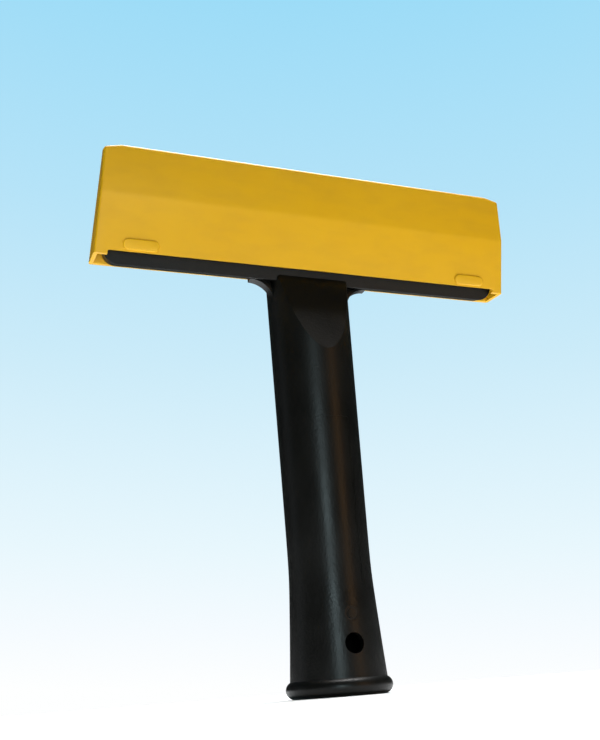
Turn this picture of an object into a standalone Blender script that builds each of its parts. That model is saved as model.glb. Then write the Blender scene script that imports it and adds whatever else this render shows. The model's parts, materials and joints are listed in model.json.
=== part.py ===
"""Window scraper: a moulded pole handle with a cross bar, a steel blade held on it by a clamp
plate and three screws, and a plastic guard that slides off over the blade's edge.

The origin is the centre of the handle's open end. +Z runs up the handle, the front of the tool
faces -Y and the blade lies along X. The head leans forward from the handle, so its pieces are
drawn in a frame of their own: x along the blade, w from the front to the back, v up the blade.
Sizes are in metres.
"""

from math import acos, cos, hypot, pi, radians, sin, sqrt, tan

import bmesh
import bpy

# Grip: a hollow round handle, narrowest at its waist, with a bead round its open end.
BEAD_RADIUS = 0.0173
BEAD_HEIGHT = 0.0056
MOUTH_RADIUS = 0.0158
WAIST_RADIUS = 0.0138
WAIST_HEIGHT = 0.0385
NECK_RADIUS = 0.0152
NECK_ROUNDING = 0.001
SOCKET_MOUTH_RADIUS = 0.0128
SOCKET_END_RADIUS = 0.0108
SOCKET_DEPTH = 0.098
SOCKET_END_ROUNDING = 0.003
MOUTH_CHAMFER = 0.0006
LOCK_HOLE_RADIUS = 0.0032
LOCK_HOLE_HEIGHT = 0.0155
THUMB_FLAT_LENGTH = 0.0346
THUMB_FLAT_SLOPE = radians(15)

# Place of the head on the handle.
HEAD_HEIGHT = 0.1493
HEAD_FORWARD = 0.0055
HEAD_LEAN = radians(20)

# Guard: a wedge-shaped cap, open underneath. Its width is measured at the crease.
GUARD_DEPTH = 0.011
GUARD_WALL = 0.0014
GUARD_TOP_WALL = 0.0018
GUARD_TOP_FRONT = 0.0019
GUARD_TOP_BACK = 0.0022
CREASE_HEIGHT = 0.0186
FRONT_RIM_DROP = 0.0013
END_DRAFT = 0.054
GUARD_CORNER = 0.0018
GUARD_TOP_CORNER = 0.0009
BUMP_LENGTH = 0.0125
BUMP_HEIGHT = 0.0040
BUMP_RISE = 0.0008
BUMP_MARGIN = 0.0004
BUMP_SPREAD = 0.0644

# Cross bar and blade bed, moulded in one with the grip.
BAR_OVERHANG = 0.0015
BAR_DROP = 0.0054
BAR_END_ROUNDING = 0.005
LEDGE_HEIGHT = 0.0015
BED_HEIGHT = 0.018
WEB_RADIUS = 0.0088
WEB_THICKNESS = 0.0035
WEB_FORWARD = 0.00175

# Blade and its clamp.
BLADE_LENGTH = 0.150
BLADE_HEIGHT = 0.0312
BLADE_THICKNESS = 0.0005
BLADE_GROUND = 0.0016
BLADE_EDGE = 0.0001
CLAMP_SETBACK = 0.0005
CLAMP_HEIGHT = 0.0152
CLAMP_THICKNESS = 0.0012
CLAMP_CHAMFER = 0.0004
SCREW_HEIGHT = 0.009
SCREW_SPREAD = 0.050
SCREW_RADIUS = 0.0017
SCREW_HEAD_RADIUS = 0.0036
SCREW_HEAD_HEIGHT = 0.0012
SCREW_DOME_SHARE = 0.7
SCREW_DOME_DROP = 0.00015
SCREW_SLOT_WIDTH = 0.0009
SCREW_SLOT_DEPTH = 0.0005
BUSH_WALL = 0.0011

# Clearances.
GAP = 0.0003
SLIDING_GAP = 0.0004
RIM_GAP = 0.0006
END_GAP = 0.0011
EDGE_GAP = 0.001

# How far a cutter runs past the piece it cuts, and how finely round shapes are drawn.
LEAVE = 0.005
ROUND_STEPS = 48
HOLE_STEPS = 24
ARC_STEPS = 6
BEVEL_STEPS = 3
SMOOTH_UP_TO = radians(30)

# Sizes and places that follow from those sizes.
BAR_LENGTH = BLADE_LENGTH + 2 * BAR_OVERHANG
CLAMP_LENGTH = BLADE_LENGTH - 2 * CLAMP_SETBACK
CLAMP_FOOT = LEDGE_HEIGHT + GAP
GUARD_WIDTH = BAR_LENGTH + 2 * (END_GAP + GUARD_WALL)
GUARD_HEIGHT = CLAMP_FOOT + BLADE_HEIGHT + EDGE_GAP + GUARD_TOP_WALL
RIM_SLOPE = tan(HEAD_LEAN)
BACK_RIM_DROP = FRONT_RIM_DROP + GUARD_DEPTH * RIM_SLOPE
RIM_HEIGHT = HEAD_HEIGHT - FRONT_RIM_DROP * cos(HEAD_LEAN) - GUARD_DEPTH / 2 * sin(HEAD_LEAN)
GRIP_HEIGHT = RIM_HEIGHT - RIM_GAP
SCREW_FRONT = -GUARD_DEPTH / 2 + GUARD_WALL + SLIDING_GAP
HEAD_BACK = SCREW_FRONT + SCREW_HEAD_HEIGHT
CLAMP_FRONT = HEAD_BACK + GAP
CLAMP_BACK = CLAMP_FRONT + CLAMP_THICKNESS
BLADE_FRONT = CLAMP_BACK + GAP
BLADE_BACK = BLADE_FRONT + BLADE_THICKNESS
BED_FRONT = BLADE_BACK + GAP
THUMB_FLAT_HEIGHT = HEAD_HEIGHT - THUMB_FLAT_LENGTH
SCREW_PLACES = {"left": -SCREW_SPREAD, "middle": 0.0, "right": SCREW_SPREAD}
SIDES = {"left": -1, "right": 1}


def bed_back(v):
    """The back of the bed at height v, one sliding gap inside the guard's back wall."""
    lean = (GUARD_DEPTH / 2 - GUARD_TOP_BACK) / (GUARD_HEIGHT + BACK_RIM_DROP)
    outer = GUARD_DEPTH / 2 - lean * (v + BACK_RIM_DROP)
    return outer - GUARD_WALL - SLIDING_GAP


def grip_radius(z):
    """The outside radius of the handle, a cone down to the waist and a flare below it."""
    if z > WAIST_HEIGHT:
        share = (z - WAIST_HEIGHT) / (GRIP_HEIGHT - WAIST_HEIGHT)
        return WAIST_RADIUS + (NECK_RADIUS - WAIST_RADIUS) * share
    share = (WAIST_HEIGHT - z) / (WAIST_HEIGHT - BEAD_HEIGHT)
    return WAIST_RADIUS + (MOUTH_RADIUS - WAIST_RADIUS) * share


def arc(centre, radius, start, end, steps):
    """Points on an arc in a plane, both ends included, with angles in radians."""
    turn = (end - start) / steps
    return [
        (centre[0] + radius * cos(start + turn * i), centre[1] + radius * sin(start + turn * i))
        for i in range(steps + 1)
    ]


# Building blocks.


def clear_scene():
    for old in list(bpy.data.objects):
        bpy.data.objects.remove(old)


def add_object(name, mesh, parent=None):
    made = bpy.data.objects.new(name, mesh)
    bpy.context.scene.collection.objects.link(made)
    made.parent = parent
    return made


def mesh_from(name, bm):
    bmesh.ops.recalc_face_normals(bm, faces=bm.faces)
    mesh = bpy.data.meshes.new(name)
    bm.to_mesh(mesh)
    bm.free()
    return mesh


def lathe(name, profile, steps):
    """A profile of (radius, height) turned about Z. Points on the axis close it."""
    bm = bmesh.new()
    rings = []
    for radius, height in profile:
        if radius == 0:
            rings.append([bm.verts.new((0, 0, height))] * steps)
            continue
        circle = arc((0, 0), radius, 0, 2 * pi, steps)[:-1]
        rings.append([bm.verts.new((x, y, height)) for x, y in circle])
    if profile[0][0] != 0:
        rings.append(rings[0])
    for lower, upper in zip(rings, rings[1:]):
        for i in range(steps):
            corners = [lower[i], lower[(i + 1) % steps], upper[(i + 1) % steps], upper[i]]
            bm.faces.new(list(dict.fromkeys(corners)))
    return mesh_from(name, bm)


def loft(name, loops):
    """Skins a row of closed loops of points and closes both ends."""
    bm = bmesh.new()
    rings = [[bm.verts.new(point) for point in loop] for loop in loops]
    count = len(rings[0])
    for near, far in zip(rings, rings[1:]):
        for i in range(count):
            bm.faces.new([near[i], near[(i + 1) % count], far[(i + 1) % count], far[i]])
    bm.faces.new(rings[0])
    bm.faces.new(list(reversed(rings[-1])))
    return mesh_from(name, bm)


def section_bar(name, section, half_length):
    """A (w, v) section drawn out along x to both sides of the middle."""
    return loft(name, [[(x, w, v) for w, v in section] for x in (-half_length, half_length)])


def cylinder_w(name, radius, x, v, start, end, parent):
    """A plain cylinder along w, for holes through the head."""
    profile = [(0, 0), (radius, 0), (radius, end - start), (0, end - start)]
    made = add_object(name, lathe(name, profile, HOLE_STEPS), parent)
    made.location = (x, start, v)
    made.rotation_euler = (-pi / 2, 0, 0)
    return made


def screw_holes(owner, radius, start, end, head_frame):
    """Cutters for the three screw holes through whatever lies between start and end."""
    return [
        cylinder_w(f"{owner}_{place}", radius, x, SCREW_HEIGHT, start - LEAVE, end + LEAVE, head_frame)
        for place, x in SCREW_PLACES.items()
    ]


def combine(target, operation, *helpers):
    """Joins helper shapes to the target, or cuts them out of it, and hides them."""
    for helper in helpers:
        step = target.modifiers.new(helper.name, "BOOLEAN")
        step.operation = operation
        step.solver = "EXACT"
        step.object = helper
        helper.hide_render = True
        helper.display_type = "WIRE"


def finish(made, material):
    made.data.materials.append(material)
    made.data.shade_smooth()
    made.data.set_sharp_from_angle(angle=SMOOTH_UP_TO)


def plain_material(name, colour, roughness, metallic=0.0):
    material = bpy.data.materials.new(name)
    material.use_nodes = True
    shader = material.node_tree.nodes["Principled BSDF"]
    shader.inputs["Base Color"].default_value = (*colour, 1)
    shader.inputs["Roughness"].default_value = roughness
    shader.inputs["Metallic"].default_value = metallic
    return material


# The handle moulding.


def grip_profile():
    """Down the outside from the closed top, round the end bead and up the pole socket."""
    top = GRIP_HEIGHT - NECK_ROUNDING
    shoulder = arc((grip_radius(top) - NECK_ROUNDING, top), NECK_ROUNDING, pi / 2, 0, ARC_STEPS)
    bead_half = BEAD_HEIGHT / 2
    bead_out = BEAD_RADIUS - bead_half
    bead_start = acos((MOUTH_RADIUS - bead_out) / bead_half)
    bead = arc((bead_out, bead_half), bead_half, bead_start, -pi / 2, 2 * ARC_STEPS)
    inner_top = SOCKET_DEPTH - SOCKET_END_ROUNDING
    inner_out = SOCKET_END_RADIUS - SOCKET_END_ROUNDING
    inner = arc((inner_out, inner_top), SOCKET_END_ROUNDING, 0, pi / 2, ARC_STEPS)
    profile = [(0, GRIP_HEIGHT), *shoulder]
    profile += [(WAIST_RADIUS, WAIST_HEIGHT), *bead]
    profile += [(SOCKET_MOUTH_RADIUS + MOUTH_CHAMFER, 0), (SOCKET_MOUTH_RADIUS, MOUTH_CHAMFER)]
    profile += [*inner, (0, SOCKET_DEPTH)]
    return profile


def bar_loop(x):
    """The bar and bed section at x, whose front is flush with the clamp plate.

    Near its ends the belly curves up into a rounded corner.
    """
    back = bed_back(0)
    radius = (back - CLAMP_FRONT) / 2
    centre = ((back + CLAMP_FRONT) / 2, radius - BAR_DROP)
    belly = arc(centre, radius, pi, 2 * pi, 2 * ARC_STEPS)
    section = [*belly, (back, 0), (bed_back(BED_HEIGHT), BED_HEIGHT)]
    section += [(BED_FRONT, BED_HEIGHT), (BED_FRONT, LEDGE_HEIGHT), (CLAMP_FRONT, LEDGE_HEIGHT)]
    past = max(0, abs(x) - (BAR_LENGTH / 2 - BAR_END_ROUNDING))
    lift = BAR_END_ROUNDING - sqrt(max(0, BAR_END_ROUNDING**2 - past**2))
    squash = lift / (LEDGE_HEIGHT + BAR_DROP)
    return [(x, w, v + squash * max(0, LEDGE_HEIGHT - v)) for w, v in section]


def bar_mesh():
    straight = BAR_LENGTH / 2 - BAR_END_ROUNDING
    ends = [straight + BAR_END_ROUNDING * sin(pi / 2 * i / ARC_STEPS) for i in range(ARC_STEPS + 1)]
    places = [-x for x in reversed(ends)] + ends
    return loft("bar_and_bed", [bar_loop(x) for x in places])


def web_mesh(side):
    """The corner web between the handle's side and the bar, with a round lower edge."""
    half = WEB_THICKNESS / 2
    belly_height = HEAD_HEIGHT - BAR_DROP * cos(HEAD_LEAN)
    neck = grip_radius(belly_height - WEB_RADIUS)
    flank = sqrt(neck**2 - (WEB_FORWARD + half) ** 2) - GAP
    centre = (flank + WEB_RADIUS, belly_height - WEB_RADIUS)
    edge = arc(centre, WEB_RADIUS, pi, pi / 2, 2 * ARC_STEPS)
    inside = flank - WEB_THICKNESS
    outline = [(inside, centre[1]), *edge, (centre[0], GRIP_HEIGHT), (inside, GRIP_HEIGHT)]
    depths = (-WEB_FORWARD - half, -WEB_FORWARD + half)
    return loft("corner_web", [[(side * x, y, z) for x, z in outline] for y in depths])


def thumb_flat_cutter():
    """A block whose back face is the thumb flat, sloping into the neck as it rises."""
    size = 2 * NECK_RADIUS
    square = ((-size, -size), (size, -size), (size, 0), (-size, 0))
    loops = [[(x, y, z) for x, y in square] for z in (-LEAVE, 2 * size)]
    cutter = add_object("thumb_flat_cutter", loft("thumb_flat_cutter", loops))
    cutter.location = (0, -grip_radius(THUMB_FLAT_HEIGHT), THUMB_FLAT_HEIGHT)
    cutter.rotation_euler = (-THUMB_FLAT_SLOPE, 0, 0)
    return cutter


def lock_hole_cutter():
    reach = 2 * BEAD_RADIUS
    profile = [(0, 0), (LOCK_HOLE_RADIUS, 0), (LOCK_HOLE_RADIUS, reach), (0, reach)]
    cutter = add_object("lock_hole_cutter", lathe("lock_hole_cutter", profile, HOLE_STEPS))
    cutter.location = (0, 0, LOCK_HOLE_HEIGHT)
    cutter.rotation_euler = (pi / 2, 0, 0)
    return cutter


def bush_outer():
    return SCREW_RADIUS + GAP + BUSH_WALL


def make_handle(head_frame, material):
    handle = add_object("handle", lathe("handle", grip_profile(), ROUND_STEPS))
    combine(handle, "DIFFERENCE", thumb_flat_cutter())
    bar = add_object("bar_blank", bar_mesh(), head_frame)
    webs = [add_object("web_blank_" + name, web_mesh(side)) for name, side in SIDES.items()]
    combine(handle, "UNION", bar, *webs)
    seats = screw_holes("bush_seat", bush_outer() + GAP, BED_FRONT, bed_back(0), head_frame)
    combine(handle, "DIFFERENCE", lock_hole_cutter(), *seats)
    finish(handle, material)


# The clamped blade.


def make_bushes(head_frame, material):
    """Brass bushes moulded into the bed, which take the screws."""
    start = BED_FRONT
    depth = bed_back(SCREW_HEIGHT + bush_outer()) - start
    inner = SCREW_RADIUS + GAP
    profile = [(inner, 0), (bush_outer(), 0), (bush_outer(), depth), (inner, depth)]
    for place, x in SCREW_PLACES.items():
        ring = lathe("threaded_bush", profile, HOLE_STEPS)
        bush = add_object("threaded_bush_" + place, ring, head_frame)
        bush.location = (x, start, SCREW_HEIGHT)
        bush.rotation_euler = (-pi / 2, 0, 0)
        finish(bush, material)


def make_blade(head_frame, material):
    """The blade stands on the bar's ledge, and its upper edge is ground from the front."""
    top = CLAMP_FOOT + BLADE_HEIGHT
    edge = BLADE_BACK - BLADE_EDGE
    section = [(BLADE_FRONT, CLAMP_FOOT), (BLADE_BACK, CLAMP_FOOT), (BLADE_BACK, top)]
    section += [(edge, top), (BLADE_FRONT, top - BLADE_GROUND)]
    strip = section_bar("scraper_blade", section, BLADE_LENGTH / 2)
    blade = add_object("scraper_blade", strip, head_frame)
    holes = screw_holes("blade_hole", SCREW_RADIUS + 2 * GAP, BLADE_FRONT, BLADE_BACK, head_frame)
    combine(blade, "DIFFERENCE", *holes)
    finish(blade, material)


def make_clamp_plate(head_frame, material):
    top = CLAMP_FOOT + CLAMP_HEIGHT
    section = [(CLAMP_FRONT, CLAMP_FOOT), (CLAMP_BACK, CLAMP_FOOT), (CLAMP_BACK, top)]
    section += [(CLAMP_FRONT + CLAMP_CHAMFER, top), (CLAMP_FRONT, top - CLAMP_CHAMFER)]
    strip = section_bar("clamp_plate", section, CLAMP_LENGTH / 2)
    plate = add_object("clamp_plate", strip, head_frame)
    holes = screw_holes("clamp_hole", SCREW_RADIUS + 2 * GAP, CLAMP_FRONT, CLAMP_BACK, head_frame)
    combine(plate, "DIFFERENCE", *holes)
    finish(plate, material)


def screw_profile():
    """From the domed head's front, at height 0, to the tip of the shank."""
    tip = bed_back(SCREW_HEIGHT + SCREW_RADIUS) - SCREW_FRONT
    rim = SCREW_HEAD_RADIUS
    return [
        (0, 0),
        (rim * SCREW_DOME_SHARE, SCREW_DOME_DROP),
        (rim, SCREW_HEAD_HEIGHT / 2),
        (rim, SCREW_HEAD_HEIGHT),
        (SCREW_RADIUS, SCREW_HEAD_HEIGHT),
        (SCREW_RADIUS, tip - GAP),
        (SCREW_RADIUS - GAP, tip),
        (0, tip),
    ]


def make_screws(head_frame, material):
    """Slotted screws, each with its origin on its own axis, at the face of its head."""
    for place, x in SCREW_PLACES.items():
        turned = lathe("clamp_screw", screw_profile(), HOLE_STEPS)
        screw = add_object("clamp_screw_" + place, turned, head_frame)
        screw.location = (x, SCREW_FRONT, SCREW_HEIGHT)
        screw.rotation_euler = (-pi / 2, 0, 0)
        half = SCREW_SLOT_WIDTH / 2
        reach = 2 * SCREW_HEAD_RADIUS
        square = ((-reach, -half), (reach, -half), (reach, half), (-reach, half))
        loops = [[(a, b, z) for a, b in square] for z in (-LEAVE, SCREW_SLOT_DEPTH)]
        slot = add_object("slot_cutter_" + place, loft("slot_cutter", loops), screw)
        combine(screw, "DIFFERENCE", slot)
        finish(screw, material)


# The guard.


def guard_outline(wall, top_wall, leave):
    """The (w, v) section of the guard, set in by a wall and run on below the rim by leave."""
    rise = GUARD_HEIGHT - CREASE_HEIGHT
    slant = wall * hypot(GUARD_DEPTH / 2 - GUARD_TOP_FRONT, rise) / rise
    top = GUARD_HEIGHT - top_wall
    front_lean = (GUARD_DEPTH / 2 - GUARD_TOP_FRONT) / rise
    back_lean = (GUARD_DEPTH / 2 - GUARD_TOP_BACK) / (GUARD_HEIGHT + BACK_RIM_DROP)
    front_foot = -FRONT_RIM_DROP - leave
    back_foot = -BACK_RIM_DROP - leave
    return [
        (-GUARD_DEPTH / 2 + wall, front_foot),
        (-GUARD_DEPTH / 2 + wall, CREASE_HEIGHT - (slant - wall) / front_lean),
        (-GUARD_DEPTH / 2 + slant + front_lean * (top - CREASE_HEIGHT), top),
        (GUARD_DEPTH / 2 - wall - back_lean * (top + BACK_RIM_DROP), top),
        (GUARD_DEPTH / 2 - wall + back_lean * leave, back_foot),
    ]


def guard_shape(name, wall, top_wall, leave):
    """The guard's outline drawn along x, with drafted ends that narrow towards the top."""
    section = guard_outline(wall, top_wall, leave)
    crease_end = GUARD_WIDTH / 2 - wall
    ends = [[(crease_end + END_DRAFT * (CREASE_HEIGHT - v), w, v) for w, v in section]]
    ends.append([(-x, w, v) for x, w, v in ends[0]])
    return loft(name, ends)


def is_above_rim(edge):
    return max(corner.co.z for corner in edge.verts) > 0


def is_long_top_edge(edge):
    ends = [corner.co for corner in edge.verts]
    return min(end.z for end in ends) > CREASE_HEIGHT + LEAVE and ends[0].x * ends[1].x < 0


def is_end_corner(edge):
    near, far = [face.normal.x for face in edge.link_faces]
    return abs(near - far) > sin(pi / 4) and is_above_rim(edge)


def bevel_edges(bm, edges, offset):
    bmesh.ops.bevel(bm, geom=edges, offset=offset, segments=BEVEL_STEPS, profile=0.5, affect="EDGES")


def round_guard(mesh):
    """Rounds the guard's long top edges and its end corners, and leaves its rim sharp."""
    bm = bmesh.new()
    bm.from_mesh(mesh)
    bevel_edges(bm, [edge for edge in bm.edges if is_long_top_edge(edge)], GUARD_TOP_CORNER)
    bm.normal_update()
    bevel_edges(bm, [edge for edge in bm.edges if is_end_corner(edge)], GUARD_CORNER)
    bmesh.ops.recalc_face_normals(bm, faces=bm.faces)
    bm.to_mesh(mesh)
    bm.free()


def bump_mesh(side):
    """An oblong snap bump on the front wall, just above its rim, with rounded ends and face."""
    foot = -FRONT_RIM_DROP + BUMP_MARGIN
    radius = BUMP_HEIGHT / 2
    reach = BUMP_LENGTH / 2 - radius
    face = -GUARD_DEPTH / 2
    middle = side * BUMP_SPREAD

    def oval(inset, w):
        right = arc((middle + reach, foot + radius), radius - inset, -pi / 2, pi / 2, ARC_STEPS)
        left = arc((middle - reach, foot + radius), radius - inset, pi / 2, 3 * pi / 2, ARC_STEPS)
        return [(x, w, v) for x, v in right + left]

    shoulder = BUMP_RISE / 2
    rings = [oval(0, face + GUARD_WALL / 2), oval(0, face - shoulder), oval(shoulder, face - BUMP_RISE)]
    return loft("snap_bump", rings)


def make_guard(head_frame, material):
    guard = add_object("blade_guard", guard_shape("blade_guard", 0, 0, 0), head_frame)
    round_guard(guard.data)
    bumps = [add_object("bump_" + name, bump_mesh(side), head_frame) for name, side in SIDES.items()]
    combine(guard, "UNION", *bumps)
    hollow = guard_shape("guard_hollow", GUARD_WALL, GUARD_TOP_WALL, LEAVE)
    combine(guard, "DIFFERENCE", add_object("guard_hollow", hollow, head_frame))
    finish(guard, material)


# The whole tool.

clear_scene()
head_frame = add_object("head_frame", None)
head_frame.location = (0, -HEAD_FORWARD, HEAD_HEIGHT)
head_frame.rotation_euler = (HEAD_LEAN, 0, 0)

black_nylon = plain_material("black_nylon", (0.0052, 0.0052, 0.0045), 0.42)
yellow_polypropylene = plain_material("yellow_polypropylene", (0.71, 0.42, 0.03), 0.45)
spring_steel = plain_material("spring_steel", (0.62, 0.63, 0.64), 0.28, 1.0)
zinc_plated_steel = plain_material("zinc_plated_steel", (0.55, 0.56, 0.57), 0.38, 1.0)
brass = plain_material("brass", (0.78, 0.57, 0.25), 0.35, 1.0)

make_handle(head_frame, black_nylon)
make_bushes(head_frame, brass)
make_blade(head_frame, spring_steel)
make_clamp_plate(head_frame, zinc_plated_steel)
make_screws(head_frame, zinc_plated_steel)
make_guard(head_frame, yellow_polypropylene)
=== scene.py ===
"""Looks of the window scraper: the moulded handle, the clamped blade and its slide-off guard."""

import json
from math import acos, atan2, cos, hypot, pi, radians, sin, sqrt

import bmesh
import bpy
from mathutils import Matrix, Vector


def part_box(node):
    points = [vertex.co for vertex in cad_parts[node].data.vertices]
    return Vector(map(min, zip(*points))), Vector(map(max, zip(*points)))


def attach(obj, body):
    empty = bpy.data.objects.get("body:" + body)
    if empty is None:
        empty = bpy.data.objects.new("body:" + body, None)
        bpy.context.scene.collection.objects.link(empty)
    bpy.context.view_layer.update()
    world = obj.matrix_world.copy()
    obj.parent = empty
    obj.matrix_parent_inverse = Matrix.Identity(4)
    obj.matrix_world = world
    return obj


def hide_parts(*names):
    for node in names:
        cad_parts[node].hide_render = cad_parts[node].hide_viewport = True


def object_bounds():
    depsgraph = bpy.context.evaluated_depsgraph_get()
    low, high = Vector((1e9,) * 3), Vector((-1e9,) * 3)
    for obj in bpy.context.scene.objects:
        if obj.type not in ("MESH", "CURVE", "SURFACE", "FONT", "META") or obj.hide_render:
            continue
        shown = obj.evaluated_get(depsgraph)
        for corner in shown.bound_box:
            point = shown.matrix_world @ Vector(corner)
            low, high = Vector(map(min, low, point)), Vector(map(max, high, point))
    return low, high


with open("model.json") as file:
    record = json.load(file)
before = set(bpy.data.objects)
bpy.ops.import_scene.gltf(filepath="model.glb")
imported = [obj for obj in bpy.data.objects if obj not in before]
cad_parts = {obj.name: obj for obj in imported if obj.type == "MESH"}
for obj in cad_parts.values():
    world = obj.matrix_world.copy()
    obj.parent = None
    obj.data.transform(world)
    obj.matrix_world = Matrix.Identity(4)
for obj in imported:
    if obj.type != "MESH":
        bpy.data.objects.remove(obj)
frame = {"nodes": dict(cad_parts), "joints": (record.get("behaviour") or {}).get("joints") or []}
cad_low, cad_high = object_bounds()
bpy.ops.object.select_all(action="DESELECT")


# Handle. One injection moulding of black glass-filled nylon: a hollow grip with a bead round its
# open end, a thumb flat at the neck, two corner webs and the cross bar, which carries the blade
# bed. The grip's socket takes a pole tip, and the hole near its end takes the tip's spring button.
MM = 0.001
STEPS_ROUND = 96
STEPS_HOLE = 48
WELD = 1e-6
SAME = 1e-5
handle_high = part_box("handle")[1]
guard_slide = next(j for j in frame["joints"] if j["type"] == "slide")
middle_screw = next(j for j in frame["joints"] if j["name"] == "screw_middle_turn")
HEAD_LEAN = atan2(-guard_slide["axis"][1], guard_slide["axis"][2])
SCREW_HEIGHT = 9 * MM
SCREW_SPREAD = 50 * MM
HEAD_UP = Vector(guard_slide["axis"])
HEAD_PLACE = Vector(middle_screw["pos_m"]) - SCREW_HEIGHT * HEAD_UP

BEAD_RADIUS = handle_high[1]
BEAD_HEIGHT = 5.6 * MM
MOUTH_RADIUS = 15.8 * MM
WAIST_RADIUS = 13.8 * MM
WAIST_HEIGHT = 38.5 * MM
WAIST_BLEND = 7 * MM
NECK_RADIUS = 15.2 * MM
NECK_ROUNDING = 1 * MM
GRIP_HEIGHT = 145.6 * MM
SOCKET_MOUTH = 12.8 * MM
SOCKET_END = 10.8 * MM
SOCKET_DEPTH = 98 * MM
SOCKET_END_ROUNDING = 3 * MM
MOUTH_ROUNDING = 0.6 * MM
THUMB_FLAT_HEIGHT = 114.7 * MM
THUMB_FLAT_SLOPE = radians(15)


def grip_radius(z):
    """The grip's cone above the waist, and its flare below, blended over the waist."""
    cone_slope = (NECK_RADIUS - WAIST_RADIUS) / (GRIP_HEIGHT - WAIST_HEIGHT)
    flare_slope = (MOUTH_RADIUS - WAIST_RADIUS) / (WAIST_HEIGHT - BEAD_HEIGHT)
    cone = WAIST_RADIUS + cone_slope * (z - WAIST_HEIGHT)
    flare = WAIST_RADIUS + flare_slope * (WAIST_HEIGHT - z)
    apart = (cone - flare) / 2
    soft = WAIST_BLEND * flare_slope / 2
    return (cone + flare) / 2 + sqrt(apart**2 + soft**2) - soft / 2


def arc(centre, radius, start, end, steps):
    """Points of (radius, height) on an arc, both ends included."""
    turns = [start + (end - start) * i / steps for i in range(steps + 1)]
    return [(centre[0] + radius * cos(a), centre[1] + radius * sin(a)) for a in turns]


def turned(name, profile, steps):
    """A disc at the profile's first (radius, height), extruded ring by ring along the rest."""
    radius, height = profile[0]
    bpy.ops.mesh.primitive_circle_add(
        vertices=steps, radius=radius, fill_type="NGON", location=(0, 0, height)
    )
    bpy.ops.object.transform_apply(location=True, rotation=False, scale=False)
    piece = bpy.context.object
    piece.name = name
    bpy.ops.object.mode_set(mode="EDIT")
    for next_radius, next_height in profile[1:]:
        bpy.ops.mesh.extrude_region_move(TRANSFORM_OT_translate={"value": (0, 0, next_height - height)})
        bpy.ops.transform.resize(value=(next_radius / radius, next_radius / radius, 1))
        radius, height = next_radius, next_height
    bpy.ops.mesh.select_all(action="SELECT")
    bpy.ops.mesh.remove_doubles(threshold=WELD)
    bpy.ops.mesh.normals_make_consistent(inside=False)
    bpy.ops.object.mode_set(mode="OBJECT")
    return piece


def block(name, low, high):
    """A cube drawn out to a box between two corners, which is still to be shaped."""
    low, high = Vector(low), Vector(high)
    bpy.ops.mesh.primitive_cube_add(size=1, location=(low + high) / 2)
    piece = bpy.context.object
    piece.name = name
    piece.scale = high - low
    bpy.ops.object.transform_apply(location=True, rotation=False, scale=True)
    return piece


def pick(kind, test):
    """Selects the edges or faces of the piece in edit mode that pass a test, and no others."""
    bpy.ops.mesh.select_mode(type=kind)
    bpy.ops.mesh.select_all(action="DESELECT")
    mesh = bpy.context.object.data
    bm = bmesh.from_edit_mesh(mesh)
    bm.normal_update()
    parts = {"VERT": bm.verts, "EDGE": bm.edges, "FACE": bm.faces}[kind]
    for part in parts:
        part.select_set(bool(test(part)))
    bm.select_flush_mode()
    bmesh.update_edit_mesh(mesh)


def middle(edge):
    return (edge.verts[0].co + edge.verts[1].co) / 2


def runs_along(edge, axis):
    """True if the edge runs along x, y or z, given as 0, 1 or 2."""
    run = edge.verts[1].co - edge.verts[0].co
    return abs(run[axis]) > 0.9 * run.length


def combine(piece, operation, *others):
    """Joins other pieces to this one, or cuts them out of it, and removes them."""
    for other in others:
        bpy.context.view_layer.objects.active = piece
        bpy.ops.object.modifier_add(type="BOOLEAN")
        step = piece.modifiers[-1]
        step.operation = operation
        step.solver = "EXACT"
        step.object = other
        bpy.ops.object.modifier_apply(modifier=step.name)
        bpy.data.objects.remove(other)


def only(piece):
    """Makes a piece the one that is selected and active."""
    bpy.ops.object.select_all(action="DESELECT")
    piece.select_set(True)
    bpy.context.view_layer.objects.active = piece


def lean_with_head(piece):
    """Turns a piece that was modelled upright to the head's lean, and sets it in the head's place."""
    only(piece)
    piece.rotation_euler = (HEAD_LEAN, 0, 0)
    piece.location = HEAD_PLACE
    bpy.ops.object.transform_apply(location=True, rotation=True, scale=False)


def smooth(piece, angle):
    only(piece)
    bpy.ops.object.shade_smooth_by_angle(angle=radians(angle))


bead_half = BEAD_HEIGHT / 2
bead_turn = acos((MOUTH_RADIUS - BEAD_RADIUS + bead_half) / bead_half)
neck_top = GRIP_HEIGHT - NECK_ROUNDING
ABOVE_WAIST = (98, 90, 82, 74, 66, 60, 52, 44, 35, 26, 18, 13, 9, 6, 3, 0)
BELOW_WAIST = (-3, -6, -9, -13, -18, -24)
FIRST_RING = 6 * MM
grip_rings = [WAIST_HEIGHT + step * MM for step in ABOVE_WAIST + BELOW_WAIST]
profile = [(FIRST_RING, GRIP_HEIGHT)]
profile += arc((grip_radius(neck_top) - NECK_ROUNDING, neck_top), NECK_ROUNDING, pi / 2, 0, 10)
profile += [(grip_radius(z), z) for z in grip_rings]
profile += arc((BEAD_RADIUS - bead_half, bead_half), bead_half, bead_turn, -pi / 2, 16)
profile += arc((SOCKET_MOUTH + MOUTH_ROUNDING, MOUTH_ROUNDING), MOUTH_ROUNDING, -pi / 2, -pi, 4)
socket_dome = (SOCKET_END - SOCKET_END_ROUNDING, SOCKET_DEPTH - SOCKET_END_ROUNDING)
profile += arc(socket_dome, SOCKET_END_ROUNDING, 0, pi / 2, 8)
grip = turned("handle_moulding", profile, STEPS_ROUND)

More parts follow.
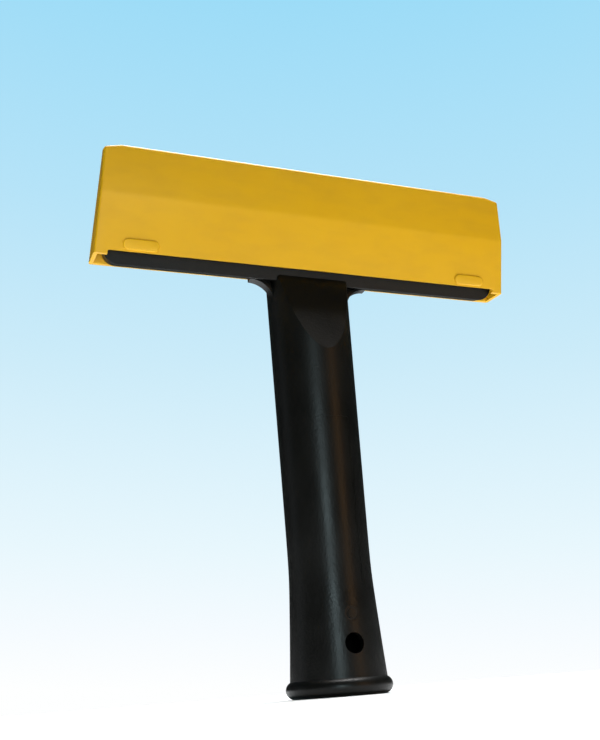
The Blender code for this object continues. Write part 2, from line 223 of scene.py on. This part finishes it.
# The thumb flat is cut straight across the neck, so its edge is the curve of the grip.
bpy.ops.object.mode_set(mode="EDIT")
bpy.ops.mesh.select_all(action="SELECT")
bpy.ops.mesh.bisect(
    plane_co=(0, -grip_radius(THUMB_FLAT_HEIGHT), THUMB_FLAT_HEIGHT),
    plane_no=(0, -cos(THUMB_FLAT_SLOPE), sin(THUMB_FLAT_SLOPE)),
    threshold=WELD,
    use_fill=True,
    clear_outer=True,
)
bpy.ops.object.mode_set(mode="OBJECT")

# Cross bar, drawn upright: round underneath, with the bed for the blade standing on its back half.
BAR_LENGTH = 153 * MM
BAR_DROP = 5.4 * MM
BAR_FRONT = -2.2 * MM
BAR_BACK = 3.27 * MM
BAR_END_ROUNDING = 5 * MM
LEDGE_HEIGHT = 1.5 * MM
BED_FRONT = 0.1 * MM
BED_HEIGHT = 18 * MM
BED_TOP_BACK = 1.83 * MM
BED_CORNER = 3 * MM
BELLY_SHARE = 0.97
bar = block("cross_bar", (-BAR_LENGTH / 2, BAR_FRONT, -BAR_DROP), (BAR_LENGTH / 2, BAR_BACK, LEDGE_HEIGHT))
bpy.ops.object.mode_set(mode="EDIT")
bpy.ops.mesh.bisect(plane_co=(0, BED_FRONT, 0), plane_no=(0, 1, 0), threshold=WELD)
pick("FACE", lambda f: f.normal.z > 0.9 and f.calc_center_median().y > BED_FRONT)
bpy.ops.mesh.extrude_region_move(TRANSFORM_OT_translate={"value": (0, 0, BED_HEIGHT - LEDGE_HEIGHT)})


def is_back_top_edge(edge):
    """The long edge at the top of the bed's back."""
    back = middle(edge).y > BED_FRONT + SAME
    return back and middle(edge).z > BED_HEIGHT - SAME and runs_along(edge, 0)


pick("EDGE", is_back_top_edge)
bpy.ops.transform.translate(value=(0, BED_TOP_BACK - BAR_BACK, 0))
pick("EDGE", lambda e: middle(e).z > BED_HEIGHT - SAME and runs_along(e, 1))
bpy.ops.mesh.bevel(offset=BED_CORNER, segments=5, affect="EDGES")
pick("EDGE", lambda e: middle(e).z < -BAR_DROP + SAME and runs_along(e, 1))
bpy.ops.mesh.bevel(offset=BAR_END_ROUNDING, segments=8, affect="EDGES")
belly = (BAR_BACK - BAR_FRONT) / 2 * BELLY_SHARE


def is_belly_edge(edge):
    """An edge of the bar's underside that runs along its front or its back."""
    outer = min(abs(v.co.y - side) for v in edge.verts for side in (BAR_FRONT, BAR_BACK)) < SAME
    flat = abs(edge.verts[0].co.y - edge.verts[1].co.y) < SAME
    below = max(v.co.z for v in edge.verts) < -BAR_DROP + BAR_END_ROUNDING + SAME
    inner = abs(middle(edge).y - BED_FRONT) < SAME
    upright = abs(middle(edge).x) > BAR_LENGTH / 2 - SAME and runs_along(edge, 2)
    return outer and flat and below and not inner and not upright


pick("EDGE", is_belly_edge)
bpy.ops.mesh.bevel(offset=belly, segments=8, affect="EDGES", clamp_overlap=True)
bpy.ops.object.mode_set(mode="OBJECT")
lean_with_head(bar)

# Corner webs: thin plates with a hollow round lower edge, sunk in front so that a rim is left.
WEB_RADIUS = 8.8 * MM
WEB_FRONT = -3.5 * MM
WEB_BACK = 0
WEB_RIM = 1.1 * MM
WEB_SINK = 1 * MM
WEB_ROOT = 3 * MM
WEB_LAP = 0.3 * MM
WEB_CUTTER = 100 * MM
belly_height = HEAD_PLACE.z - BAR_DROP * cos(HEAD_LEAN)
flank = sqrt(grip_radius(belly_height - WEB_RADIUS) ** 2 - WEB_FRONT**2) - WEB_LAP


def corner_block(name, side, y_low, y_high, radius, top):
    """A block in the corner under the bar, less a cylinder that gives it its hollow round edge."""
    centre = Vector((side * (flank + WEB_RADIUS), 0, belly_height - WEB_RADIUS))
    inner, outer = sorted((side * (flank - WEB_ROOT), centre.x))
    piece = block(name, (inner, y_low, centre.z), (outer, y_high, top))
    bpy.ops.mesh.primitive_cylinder_add(
        vertices=STEPS_ROUND, radius=radius, depth=WEB_CUTTER, location=centre, rotation=(pi / 2, 0, 0)
    )
    combine(piece, "DIFFERENCE", bpy.context.object)
    return piece


webs = []
for side in (-1, 1):
    web = corner_block("corner_web", side, WEB_FRONT, WEB_BACK, WEB_RADIUS, GRIP_HEIGHT)
    panel_back = WEB_FRONT + WEB_SINK
    sunk = corner_block("web_panel", side, WEB_FRONT - MM, panel_back, WEB_RADIUS + WEB_RIM, belly_height)
    combine(web, "DIFFERENCE", sunk)
    webs.append(web)
combine(grip, "UNION", bar, *webs)

# Pole lock hole, through the front wall only, and the ring that the gate left just above it.
LOCK_HOLE_HEIGHT = 15.5 * MM
LOCK_HOLE_RADIUS = 3.2 * MM
GATE_HEIGHT = 24.6 * MM
GATE_RADIUS = 2.3 * MM
GATE_RING = 0.8 * MM
GATE_SINK = 0.3 * MM
HOLE_DRILL = 30 * MM
DRILL_MIDDLE = -20 * MM
GATE_DRILL = 5 * MM


def cross_drill(radius, depth, place):
    """A cylinder that points front to back, to cut with."""
    bpy.ops.mesh.primitive_cylinder_add(
        vertices=STEPS_HOLE, radius=radius, depth=depth, location=place, rotation=(pi / 2, 0, 0)
    )
    return bpy.context.object


lock_hole = cross_drill(LOCK_HOLE_RADIUS, HOLE_DRILL, (0, DRILL_MIDDLE, LOCK_HOLE_HEIGHT))
gate_place = (0, -grip_radius(GATE_HEIGHT) + GATE_SINK - GATE_DRILL / 2, GATE_HEIGHT)
gate_mark = cross_drill(GATE_RADIUS, GATE_DRILL, gate_place)
gate_core = cross_drill(GATE_RADIUS - GATE_RING, HOLE_DRILL, gate_place)
combine(gate_mark, "DIFFERENCE", gate_core)
combine(grip, "DIFFERENCE", lock_hole, gate_mark)

# A plain sunk panel runs down the front of the grip.
PANEL_LOW = 34 * MM
PANEL_HIGH = 90 * MM
PANEL_WIDTH = 11.7 * MM
PANEL_SINK = 0.1 * MM
PANEL_CUT_FRONT = -20 * MM
PANEL_CUT_BACK = -10 * MM
RINGS_BELOW = 2 * MM
RINGS_ABOVE = 10 * MM
panel_low = (-PANEL_WIDTH / 2, PANEL_CUT_FRONT, PANEL_LOW)
panel = block("sunk_panel", panel_low, (PANEL_WIDTH / 2, PANEL_CUT_BACK, PANEL_HIGH))
core_rings = [z for z in grip_rings if PANEL_LOW - RINGS_BELOW < z < PANEL_HIGH + RINGS_ABOVE]
core = turned("panel_core", [(grip_radius(z) - PANEL_SINK, z) for z in core_rings], STEPS_ROUND)
combine(panel, "DIFFERENCE", core)
combine(grip, "DIFFERENCE", panel)

# Seats for the threaded bushes, through the bed.
BUSH_SEAT_RADIUS = 3.4 * MM
BUSH_SEAT_DRILL = 10 * MM
for x in (-SCREW_SPREAD, 0, SCREW_SPREAD):
    seat = cross_drill(BUSH_SEAT_RADIUS, BUSH_SEAT_DRILL, (x, BUSH_SEAT_DRILL / 2, SCREW_HEIGHT))
    bpy.ops.object.transform_apply(location=True, rotation=True, scale=False)
    lean_with_head(seat)
    combine(grip, "DIFFERENCE", seat)

# The skin is shaded smooth, led by its large faces, with a crisp edge round the thumb flat.
HANDLE_CREASE = 32
FACES_ALIKE = 0.99999
smooth(grip, HANDLE_CREASE)
flat_facing = Vector((0, -cos(THUMB_FLAT_SLOPE), sin(THUMB_FLAT_SLOPE)))
bpy.ops.object.mode_set(mode="EDIT")
pick("EDGE", lambda e: sum(f.normal.dot(flat_facing) > FACES_ALIKE for f in e.link_faces) == 1)
bpy.ops.mesh.mark_sharp()
bpy.ops.object.mode_set(mode="OBJECT")
bpy.ops.object.modifier_add(type="WEIGHTED_NORMAL")
grip.modifiers[-1].keep_sharp = True
bpy.ops.object.modifier_apply(modifier=grip.modifiers[-1].name)


def linear(colour):
    """A hex sRGB colour as linear red, green, blue and alpha."""
    parts = [int(colour[i : i + 2], 16) / 255 for i in (1, 3, 5)]
    return (*[c / 12.92 if c <= 0.04045 else ((c + 0.055) / 1.055) ** 2.4 for c in parts], 1)


def add_node(material, kind, settings=(), links=()):
    """Adds a node, sets its sockets or properties by name, and links sockets from other nodes."""
    node = material.node_tree.nodes.new(kind)
    for name, value in dict(settings).items():
        if isinstance(name, int) or name in node.inputs:
            node.inputs[name].default_value = value
        else:
            setattr(node, name, value)
    for name, source in dict(links).items():
        material.node_tree.links.new(source, node.inputs[name])
    return node


def new_material(name):
    """A material with its Principled shader, and a node that gives Object coordinates."""
    material = bpy.data.materials.new(name)
    material.use_nodes = True
    shader = material.node_tree.nodes["Principled BSDF"]
    place = add_node(material, "ShaderNodeTexCoord").outputs["Object"]
    return material, shader, place


def wear(piece, material):
    piece.data.materials.clear()
    piece.data.materials.append(material)


# Black glass-filled nylon 6, injection moulded against a fine spark-eroded tool: a satin skin with
# a faint orange peel, duller where hands have rubbed it, and a little dry dust in the grain.
nylon, shader, place = new_material("black_moulded_nylon")
shader.inputs["IOR"].default_value = 1.53
shader.inputs["Specular IOR Level"].default_value = 0.25
grain = add_node(nylon, "ShaderNodeTexNoise", {"Scale": 1 / (0.8 * MM), "Detail": 3}, {"Vector": place})
peel = add_node(nylon, "ShaderNodeTexNoise", {"Scale": 1 / (3 * MM), "Detail": 2}, {"Vector": place})
handled = add_node(nylon, "ShaderNodeTexNoise", {"Scale": 1 / (22 * MM), "Detail": 5}, {"Vector": place})
tint = add_node(
    nylon,
    "ShaderNodeMix",
    {"data_type": "RGBA", 6: linear("#070706"), 7: linear("#0f0f0c")},
    {0: handled.outputs["Fac"]},
)
nylon.node_tree.links.new(tint.outputs[2], shader.inputs["Base Color"])
rough = add_node(
    nylon,
    "ShaderNodeMapRange",
    {"From Min": 0.3, "From Max": 0.7, "To Min": 0.3, "To Max": 0.42},
    {0: handled.outputs["Fac"]},
)
nylon.node_tree.links.new(rough.outputs[0], shader.inputs["Roughness"])
fine = add_node(
    nylon, "ShaderNodeBump", {"Strength": 0.6, "Distance": 0.1 * MM}, {"Height": grain.outputs["Fac"]}
)
skin = add_node(
    nylon,
    "ShaderNodeBump",
    {"Strength": 0.12, "Distance": 0.2 * MM},
    {"Height": peel.outputs["Fac"], "Normal": fine.outputs["Normal"]},
)
nylon.node_tree.links.new(skin.outputs["Normal"], shader.inputs["Normal"])
wear(grip, nylon)
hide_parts("handle")
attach(grip, "tool")


# Threaded bushes. Three turned brass bushes, pressed into the bed while the nylon is hot; the
# clamp screws run in them.
brass, shader, place = new_material("turned_brass")
shader.inputs["Base Color"].default_value = linear("#c9a760")
shader.inputs["Metallic"].default_value = 1
lathe_marks = add_node(
    brass, "ShaderNodeTexNoise", {"Scale": 1 / (0.25 * MM), "Detail": 2}, {"Vector": place}
)
rough = add_node(
    brass, "ShaderNodeMapRange", {"To Min": 0.25, "To Max": 0.42}, {0: lathe_marks.outputs["Fac"]}
)
brass.node_tree.links.new(rough.outputs[0], shader.inputs["Roughness"])
for bush in ("threaded_bush_left", "threaded_bush_middle", "threaded_bush_right"):
    wear(frame["nodes"][bush], brass)


# Blade. A hardened carbon-steel strip, rolled bright, with its upper edge ground from the front;
# the clamp holds it against the bed.
steel, shader, place = new_material("rolled_blade_steel")
shader.inputs["Metallic"].default_value = 1
rolled = add_node(steel, "ShaderNodeMapping", {"Scale": (0.03, 1, 1)}, {"Vector": place})
lines = add_node(
    steel, "ShaderNodeTexNoise", {"Scale": 1 / (0.3 * MM), "Detail": 4}, {"Vector": rolled.outputs[0]}
)
stain = add_node(steel, "ShaderNodeTexNoise", {"Scale": 1 / (14 * MM), "Detail": 6}, {"Vector": place})
tint = add_node(
    steel,
    "ShaderNodeMix",
    {"data_type": "RGBA", 6: linear("#9a9a98"), 7: linear("#d2d4d6")},
    {0: stain.outputs["Fac"]},
)
steel.node_tree.links.new(tint.outputs[2], shader.inputs["Base Color"])
rough = add_node(steel, "ShaderNodeMapRange", {"To Min": 0.18, "To Max": 0.4}, {0: lines.outputs["Fac"]})
steel.node_tree.links.new(rough.outputs[0], shader.inputs["Roughness"])
brushed = add_node(
    steel, "ShaderNodeBump", {"Strength": 0.15, "Distance": 0.02 * MM}, {"Height": lines.outputs["Fac"]}
)
steel.node_tree.links.new(brushed.outputs["Normal"], shader.inputs["Normal"])
wear(frame["nodes"]["scraper_blade"], steel)


# Clamp plate and screws. Pressed steel and cold-headed steel, both zinc plated, so they have a
# pale, slightly cloudy shine.
zinc, shader, place = new_material("bright_zinc_plate")
shader.inputs["Metallic"].default_value = 1
cloud = add_node(zinc, "ShaderNodeTexNoise", {"Scale": 1 / (5 * MM), "Detail": 5}, {"Vector": place})
tint = add_node(
    zinc,
    "ShaderNodeMix",
    {"data_type": "RGBA", 6: linear("#a9adb0"), 7: linear("#cfd3d6")},
    {0: cloud.outputs["Fac"]},
)
zinc.node_tree.links.new(tint.outputs[2], shader.inputs["Base Color"])
rough = add_node(zinc, "ShaderNodeMapRange", {"To Min": 0.26, "To Max": 0.5}, {0: cloud.outputs["Fac"]})
zinc.node_tree.links.new(rough.outputs[0], shader.inputs["Roughness"])
for part in ("clamp_plate", "clamp_screw_left", "clamp_screw_middle", "clamp_screw_right"):
    wear(frame["nodes"][part], zinc)


# Blade guard. A yellow polypropylene moulding that slides over the head: a steep lower front, a
# front that slants in above the crease, two closed ends with feet, and two snap bumps.
GUARD_WIDTH = 158 * MM
GUARD_DEPTH = 11 * MM
GUARD_WALL = 1.4 * MM
GUARD_TOP = 35.8 * MM
TOP_FRONT = -1.9 * MM
TOP_BACK = 2.2 * MM
CREASE_HEIGHT = 18.6 * MM
FRONT_RIM = -0.9 * MM
FOOT_DROP = 1.4 * MM
BACK_RIM = -5.3 * MM
END_DRAFT = 0.054
GUARD_CORNER = 0.9 * MM
GUARD_TOP_WALL = 1.8 * MM
HOLLOW_RUN_ON = 5 * MM
half_depth = GUARD_DEPTH / 2
foot = FRONT_RIM - FOOT_DROP
front_lean = (half_depth + TOP_FRONT) / (GUARD_TOP - CREASE_HEIGHT)
back_lean = (half_depth - TOP_BACK) / (GUARD_TOP - BACK_RIM)


def guard_blank(name, wall, top, leave):
    """The guard's wedge, set in by a wall all round, cut off at a top and run on below by leave."""
    crease = CREASE_HEIGHT - wall * (hypot(front_lean, 1) - 1) / front_lean
    end = GUARD_WIDTH / 2 - wall
    blank = block(name, (-end, -half_depth + wall, foot - leave), (end, half_depth - wall, top))
    bpy.ops.object.mode_set(mode="EDIT")
    bpy.ops.mesh.select_all(action="SELECT")
    bpy.ops.mesh.bisect(plane_co=(0, 0, crease), plane_no=(0, 0, 1), threshold=WELD)
    pick("VERT", lambda v: v.co.z > top - SAME and v.co.y < 0)
    bpy.ops.transform.translate(value=(0, front_lean * (top - crease), 0))
    pick("VERT", lambda v: v.co.z < foot - leave + SAME and v.co.y > 0)
    bpy.ops.transform.translate(value=(0, 0, BACK_RIM - foot))
    for height in (top, crease, BACK_RIM - leave):
        pick("VERT", lambda v: abs(v.co.z - height) < SAME and v.co.y > 0)
        bpy.ops.transform.translate(value=(0, -back_lean * (height - BACK_RIM), 0))
    for height in (top, foot - leave, BACK_RIM - leave):
        pick("VERT", lambda v: abs(v.co.z - height) < SAME)
        share = 1 + END_DRAFT * (CREASE_HEIGHT - height) / end
        bpy.ops.transform.resize(value=(share, 1, 1), center_override=(0, 0, 0))
    bpy.ops.object.mode_set(mode="OBJECT")
    return blank


# The upper corners are eased off, then every outer edge above the rim is rounded at once.
CORNER_EASE_X = 6 * MM
CORNER_EASE_Z = 1.3 * MM
FLAT_ENOUGH = radians(5)
guard = guard_blank("guard_moulding", 0, GUARD_TOP, 0)
bpy.ops.object.mode_set(mode="EDIT")
top_end = GUARD_WIDTH / 2 - END_DRAFT * (GUARD_TOP - CREASE_HEIGHT)
for side in (-1, 1):
    bpy.ops.mesh.select_all(action="SELECT")
    bpy.ops.mesh.bisect(
        plane_co=(side * top_end, 0, GUARD_TOP - CORNER_EASE_Z),
        plane_no=Vector((side * CORNER_EASE_Z, 0, CORNER_EASE_X)).normalized(),
        threshold=WELD,
        use_fill=True,
        clear_outer=True,
    )


def is_outer_edge(edge):
    """Any edge above the rim, apart from the ones that lie flat in the back and the ends."""
    near, far = [face.normal for face in edge.link_faces]
    return near.angle(far) > FLAT_ENOUGH and max(v.co.z for v in edge.verts) > 0


pick("EDGE", is_outer_edge)
bpy.ops.mesh.bevel(offset=GUARD_CORNER, segments=4, affect="EDGES")
bpy.ops.object.mode_set(mode="OBJECT")
hollow = guard_blank("guard_hollow", GUARD_WALL, GUARD_TOP - GUARD_TOP_WALL, HOLLOW_RUN_ON)
combine(guard, "DIFFERENCE", hollow)

# The front rim is cut up between the feet.
FOOT_LENGTH = 3.4 * MM
FOOT_ROUNDING = 0.8 * MM
RIM_CUT_FRONT = -12 * MM
RIM_CUT_BACK = -3 * MM
RIM_CUT_LOW = -20 * MM
cut_end = GUARD_WIDTH / 2 - FOOT_LENGTH
cut = block("rim_cut", (-cut_end, RIM_CUT_FRONT, RIM_CUT_LOW), (cut_end, RIM_CUT_BACK, FRONT_RIM))
bpy.ops.object.mode_set(mode="EDIT")
pick("EDGE", lambda e: runs_along(e, 1) and middle(e).z > FRONT_RIM - SAME)
bpy.ops.mesh.bevel(offset=FOOT_ROUNDING, segments=4, affect="EDGES")
bpy.ops.object.mode_set(mode="OBJECT")
combine(guard, "DIFFERENCE", cut)

# Snap bumps near the ends of the front rim.
BUMP_LENGTH = 12.5 * MM
BUMP_HEIGHT = 4 * MM
BUMP_RISE = 0.8 * MM
BUMP_SPREAD = 64.4 * MM
BUMP_GAP = 0.4 * MM
BUMP_END_SHARE = 0.95
BUMP_CORNER = 0.6 * MM
bump_low = FRONT_RIM + BUMP_GAP
for side in (-1, 1):
    bump = block(
        "snap_bump",
        (side * BUMP_SPREAD - BUMP_LENGTH / 2, -half_depth - BUMP_RISE, bump_low),
        (side * BUMP_SPREAD + BUMP_LENGTH / 2, -half_depth + GUARD_WALL / 2, bump_low + BUMP_HEIGHT),
    )
    bpy.ops.object.mode_set(mode="EDIT")
    pick("EDGE", lambda e: runs_along(e, 1))
    bpy.ops.mesh.bevel(offset=BUMP_END_SHARE * BUMP_HEIGHT / 2, segments=8, affect="EDGES")
    pick("EDGE", lambda e: max(v.co.y for v in e.verts) < -half_depth - BUMP_RISE + SAME)
    bpy.ops.mesh.bevel(offset=BUMP_CORNER, segments=4, affect="EDGES")
    bpy.ops.object.mode_set(mode="OBJECT")
    combine(guard, "UNION", bump)
lean_with_head(guard)
GUARD_CREASE = 30
smooth(guard, GUARD_CREASE)

# Yellow polypropylene, injection moulded with a satin skin: slightly waxy, with flow clouding,
# faint grime and fine scratches from being pushed on and off.
polypropylene, shader, place = new_material("yellow_moulded_polypropylene")
shader.inputs["IOR"].default_value = 1.49
shader.inputs["Specular IOR Level"].default_value = 0.35
shader.inputs["Subsurface Weight"].default_value = 0.08
shader.inputs["Subsurface Radius"].default_value = (0.0012, 0.0008, 0.0002)
shader.inputs["Subsurface Scale"].default_value = 1
flow = add_node(polypropylene, "ShaderNodeTexNoise", {"Scale": 1 / (30 * MM), "Detail": 6}, {"Vector": place})
drawn = add_node(polypropylene, "ShaderNodeMapping", {"Scale": (0.35, 1, 1)}, {"Vector": place})
grime = add_node(
    polypropylene, "ShaderNodeTexNoise", {"Scale": 1 / (5 * MM), "Detail": 9}, {"Vector": drawn.outputs[0]}
)
base = add_node(
    polypropylene,
    "ShaderNodeMix",
    {"data_type": "RGBA", 6: linear("#d8a20a"), 7: linear("#dfab12")},
    {0: flow.outputs["Fac"]},
)
smudge = add_node(
    polypropylene,
    "ShaderNodeMapRange",
    {"From Min": 0.45, "From Max": 0.75, "To Min": 0, "To Max": 0.16},
    {0: grime.outputs["Fac"]},
)
tint = add_node(
    polypropylene,
    "ShaderNodeMix",
    {"data_type": "RGBA", 7: linear("#b98a24")},
    {0: smudge.outputs[0], 6: base.outputs[2]},
)
polypropylene.node_tree.links.new(tint.outputs[2], shader.inputs["Base Color"])
rough = add_node(
    polypropylene, "ShaderNodeMapRange", {"To Min": 0.38, "To Max": 0.55}, {0: grime.outputs["Fac"]}
)
polypropylene.node_tree.links.new(rough.outputs[0], shader.inputs["Roughness"])
skin = add_node(
    polypropylene, "ShaderNodeTexNoise", {"Scale": 1 / (0.6 * MM), "Detail": 3}, {"Vector": place}
)
satin = add_node(
    polypropylene,
    "ShaderNodeBump",
    {"Strength": 0.2, "Distance": 0.05 * MM},
    {"Height": skin.outputs["Fac"]},
)
polypropylene.node_tree.links.new(satin.outputs["Normal"], shader.inputs["Normal"])
wear(guard, polypropylene)
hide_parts("blade_guard")
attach(guard, "guard")


# Floor and light: a round white bench top, pale sky-blue surroundings that fade to white at the
# horizon, and soft lamps in front, above and behind.
FLOOR_RADIUS = 0.6
ROOM_LIGHT = 0.03
bpy.ops.mesh.primitive_circle_add(vertices=128, radius=FLOOR_RADIUS, fill_type="NGON", location=(0, 0, 0))
floor = bpy.context.object
floor.name = "floor"
bench, shader, place = new_material("matt_white_bench")
shader.inputs["Roughness"].default_value = 0.8
shader.inputs["Specular IOR Level"].default_value = 0.1
tone = add_node(bench, "ShaderNodeTexNoise", {"Scale": 3, "Detail": 2}, {"Vector": place})
tint = add_node(
    bench,
    "ShaderNodeMix",
    {"data_type": "RGBA", 6: linear("#f4f8fa"), 7: linear("#fafcfd")},
    {0: tone.outputs["Fac"]},
)
bench.node_tree.links.new(tint.outputs[2], shader.inputs["Base Color"])
wear(floor, bench)

bpy.ops.object.camera_add(location=(-0.12089, -0.28044, 0.00285))
camera = bpy.context.object
camera.rotation_euler = (radians(109.721), radians(4.193), radians(-20.93))
camera.data.lens = 43.46
camera.data.clip_start = 0.005
bpy.context.scene.camera = camera
bpy.context.scene.view_settings.view_transform = "Standard"

world = bpy.data.worlds.new("studio")
bpy.context.scene.world = world
world.use_nodes = True
room = world.node_tree.nodes["Background"]
way = add_node(world, "ShaderNodeTexCoord").outputs["Generated"]
across = camera.rotation_euler.to_matrix() @ Vector((1, 0, 0))
fade_up = (Vector((0, 0, 1)) - across.z * across).normalized()
height = add_node(world, "ShaderNodeVectorMath", {"operation": "DOT_PRODUCT", 1: fade_up}, {0: way})
sky = add_node(world, "ShaderNodeValToRGB", {}, {0: height.outputs["Value"]})
sky.color_ramp.elements[0].position = 0.0
sky.color_ramp.elements[0].color = linear("#feffff")
sky.color_ramp.elements[1].position = 0.69
sky.color_ramp.elements[1].color = linear("#9adbf7")
for position, colour in ((0.06, "#f5fbff"), (0.145, "#e8f7fd"), (0.345, "#cbebf9"), (0.5, "#b5e3f8")):
    sky.color_ramp.elements.new(position).color = linear(colour)
world.node_tree.links.new(sky.outputs["Color"], room.inputs["Color"])
seen = add_node(world, "ShaderNodeLightPath").outputs["Is Camera Ray"]
strength = add_node(world, "ShaderNodeMapRange", {"To Min": ROOM_LIGHT, "To Max": 1.0}, {0: seen})
world.node_tree.links.new(strength.outputs[0], room.inputs["Strength"])

aim = Vector((0, 0, (cad_low.z + cad_high.z) / 2))


def soft_lamp(name, place, width, height, power, colour):
    """A rectangular lamp at a place, turned towards the middle of the tool."""
    bpy.ops.object.light_add(type="AREA", location=place)
    lamp = bpy.context.object
    lamp.name = name
    lamp.data.shape = "RECTANGLE"
    lamp.data.size = width
    lamp.data.size_y = height
    lamp.data.energy = power
    lamp.data.color = linear(colour)[:3]
    lamp.rotation_euler = (aim - lamp.location).to_track_quat("-Z", "Y").to_euler()
    return lamp


soft_lamp("window", (-0.30, -0.96, 0.16), 0.2, 0.4, 2.8, "#cfe9ee")
soft_lamp("warm_side", (0.50, -0.80, 0.33), 0.2, 0.66, 1.4, "#d8a060")
soft_lamp("rear_left", (-0.80, 0.45, 0.30), 0.3, 0.5, 0.12, "#e8f4ff")
overhead = soft_lamp("overhead", (0.22, 0.12, 1.2), 0.7, 0.7, 32, "#ffffff")
overhead.rotation_euler = (0, 0, 0)
